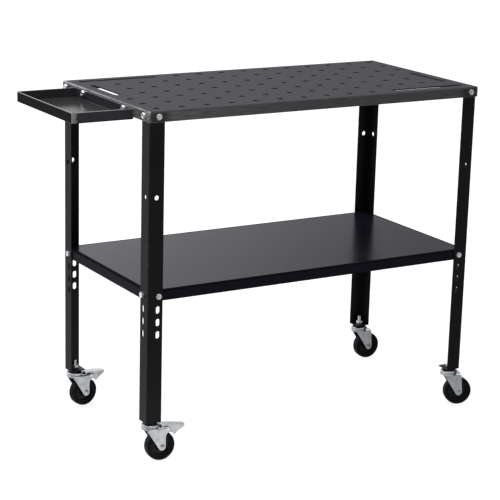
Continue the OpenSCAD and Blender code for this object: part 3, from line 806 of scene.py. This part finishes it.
def soft_light(name, place, aim, size, power):
    """A large soft lamp that the camera doesn't see."""
    data = bpy.data.lights.new(name, "AREA")
    data.shape = "RECTANGLE"
    data.size, data.size_y = size
    data.energy = power
    lamp = bpy.data.objects.new(name, data)
    lamp.location = place
    lamp.rotation_euler = (Vector(aim) - Vector(place)).to_track_quat("-Z", "Y").to_euler()
    lamp.visible_camera = False
    bpy.context.scene.collection.objects.link(lamp)


def stage_world():
    """White room to look at; what lights the table is brighter behind, above and to the left."""
    world = bpy.data.worlds.new("studio")
    bpy.context.scene.world = world
    world.use_nodes = True
    tree = world.node_tree
    tree.nodes.clear()
    coords = tree.nodes.new("ShaderNodeTexCoord")
    split = tree.nodes.new("ShaderNodeSeparateXYZ")
    tree.links.new(coords.outputs["Generated"], split.inputs[0])

    def part(axis, low, high, amount):
        """Rises from 0 to amount as one part of the direction goes from low to high."""
        made = tree.nodes.new("ShaderNodeMapRange")
        made.interpolation_type = "SMOOTHSTEP"
        tree.links.new(split.outputs[axis], made.inputs["Value"])
        made.inputs["From Min"].default_value = low
        made.inputs["From Max"].default_value = high
        made.inputs["To Max"].default_value = amount
        return made.outputs[0]

    def joined(operation, first, second):
        """One sum of a socket and a socket or number."""
        made = tree.nodes.new("ShaderNodeMath")
        made.operation = operation
        tree.links.new(first, made.inputs[0])
        if isinstance(second, float):
            made.inputs[1].default_value = second
        else:
            tree.links.new(second, made.inputs[1])
        return made.outputs[0]

    # Bright wall behind, dim below the horizon and ending before the right.
    behind = joined("MULTIPLY", part(1, -0.3, 0.8, 1.0), part(0, 0.62, 0.36, 1.0))
    behind = joined("MULTIPLY", behind, joined("ADD", part(2, -0.15, 0.15, 0.88), 0.12))
    # Fill from all but the right, with a dark band in front from the horizon up.
    fill = joined("ADD", part(0, 0.78, 0.58, 0.42), 0.06)
    facing = joined("ADD", part(1, -0.1, 0.2, 0.9), 0.1)
    band = joined("MULTIPLY", part(2, -0.05, 0.08, 1.0), part(2, 0.45, 0.35, 1.0))
    band = joined("MULTIPLY", band, joined("SUBTRACT", facing, 1.0))
    fill = joined("MULTIPLY", fill, joined("ADD", band, 1.0))
    # A little more from the left, and a bright ceiling.
    total = joined("ADD", behind, part(0, 0.3, -0.8, 0.16))
    total = joined("ADD", total, fill)
    total = joined("ADD", total, part(2, 0.40, 0.60, 0.70))
    lit = tree.nodes.new("ShaderNodeBackground")
    lit.inputs["Color"].default_value = (*LIT_TINT, 1.0)
    tree.links.new(total, lit.inputs["Strength"])
    seen = tree.nodes.new("ShaderNodeBackground")
    seen.inputs["Color"].default_value = (1.0, 1.0, 1.0, 1.0)
    path = tree.nodes.new("ShaderNodeLightPath")
    both = tree.nodes.new("ShaderNodeMixShader")
    tree.links.new(path.outputs["Is Camera Ray"], both.inputs[0])
    tree.links.new(lit.outputs[0], both.inputs[1])
    tree.links.new(seen.outputs[0], both.inputs[2])
    out = tree.nodes.new("ShaderNodeOutputWorld")
    tree.links.new(both.outputs[0], out.inputs[0])


def stage_floor(colour):
    """Plain pale floor that glows a little, so that shadows on it stay soft."""
    mesh = bmesh.new()
    bmesh.ops.create_grid(mesh, x_segments=8, y_segments=8, size=FLOOR_HALF)
    data = bpy.data.meshes.new("floor")
    mesh.to_mesh(data)
    mesh.free()
    floor = bpy.data.objects.new("floor", data)
    bpy.context.scene.collection.objects.link(floor)
    finish = Finish("pale_floor", scaled(colour, FLOOR_SHADE), 0.0, 0.9, 0.0)
    finish.feed(finish.shader.inputs["Emission Color"], colour)
    finish.shader.inputs["Emission Strength"].default_value = FLOOR_GLOW
    data.materials.append(finish.material)
    floor.visible_glossy = False


def stage_camera():
    """Long lens, seen from the front left and a little above."""
    level = math.cos(CAMERA_ELEVATION)
    back = Vector((math.sin(CAMERA_AZIMUTH) * level, -math.cos(CAMERA_AZIMUTH) * level,
                   math.sin(CAMERA_ELEVATION)))
    data = bpy.data.cameras.new("camera")
    data.lens = CAMERA_LENS
    data.sensor_width = CAMERA_SENSOR
    data.clip_start = 0.1
    data.clip_end = 100.0
    camera = bpy.data.objects.new("camera", data)
    turn = (-back).to_track_quat("-Z", "Y").to_matrix() @ Matrix.Rotation(CAMERA_ROLL, 3, "Z")
    camera.matrix_world = Matrix.Translation(CAMERA_AIM + back * CAMERA_DISTANCE) @ turn.to_4x4()
    bpy.context.scene.collection.objects.link(camera)
    bpy.context.scene.camera = camera


class TABLE_OT_stage(Operator):
    """Sets up the floor, the soft lights and the camera"""

    bl_idname = "welding_table.stage"
    bl_label = "Set the Stage"

    def execute(self, context):
        context.scene.view_settings.view_transform = "Standard"
        stage_world()
        stage_floor(tuple(context.scene.table_colours.floor))
        for lamp in LAMPS:
            soft_light(*lamp)
        stage_camera()
        return {"FINISHED"}


OPERATORS = (
    TABLE_OT_tabletop, TABLE_OT_shelf, TABLE_OT_side_tray, TABLE_OT_legs, TABLE_OT_fasteners,
    TABLE_OT_swivels, TABLE_OT_forks, TABLE_OT_brakes, TABLE_OT_wheels, TABLE_OT_stage,
)


class TABLE_PT_panel(Panel):
    """Lists the table's pieces and its stage"""

    bl_idname = "TABLE_PT_panel"
    bl_label = "Welding Table"
    bl_space_type = "VIEW_3D"
    bl_region_type = "UI"
    bl_category = "Welding Table"

    def draw(self, context):
        layout = self.layout
        for made in OPERATORS:
            layout.operator(made.bl_idname, text=made.bl_label)
        groups = ((context.scene.table_sizes, "Sizes"), (context.scene.table_colours, "Colours"))
        for group, label in groups:
            box = layout.box()
            box.label(text=label)
            for key in group.__annotations__:
                box.prop(group, key)


CLASSES = (TableColours, TableSizes, *OPERATORS, TABLE_PT_panel)


def register():
    """Registers the classes and the scene's settings."""
    for made in CLASSES:
        bpy.utils.register_class(made)
    bpy.types.Scene.table_colours = PointerProperty(type=TableColours)
    bpy.types.Scene.table_sizes = PointerProperty(type=TableSizes)


def unregister():
    """Removes them again."""
    del bpy.types.Scene.table_sizes
    del bpy.types.Scene.table_colours
    for made in reversed(CLASSES):
        bpy.utils.unregister_class(made)


def main():
    """Makes the whole table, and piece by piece."""
    register()
    for made in OPERATORS:
        group, name = made.bl_idname.split(".")
        getattr(getattr(bpy.ops, group), name)()


if __name__ == "__main__":
    main()
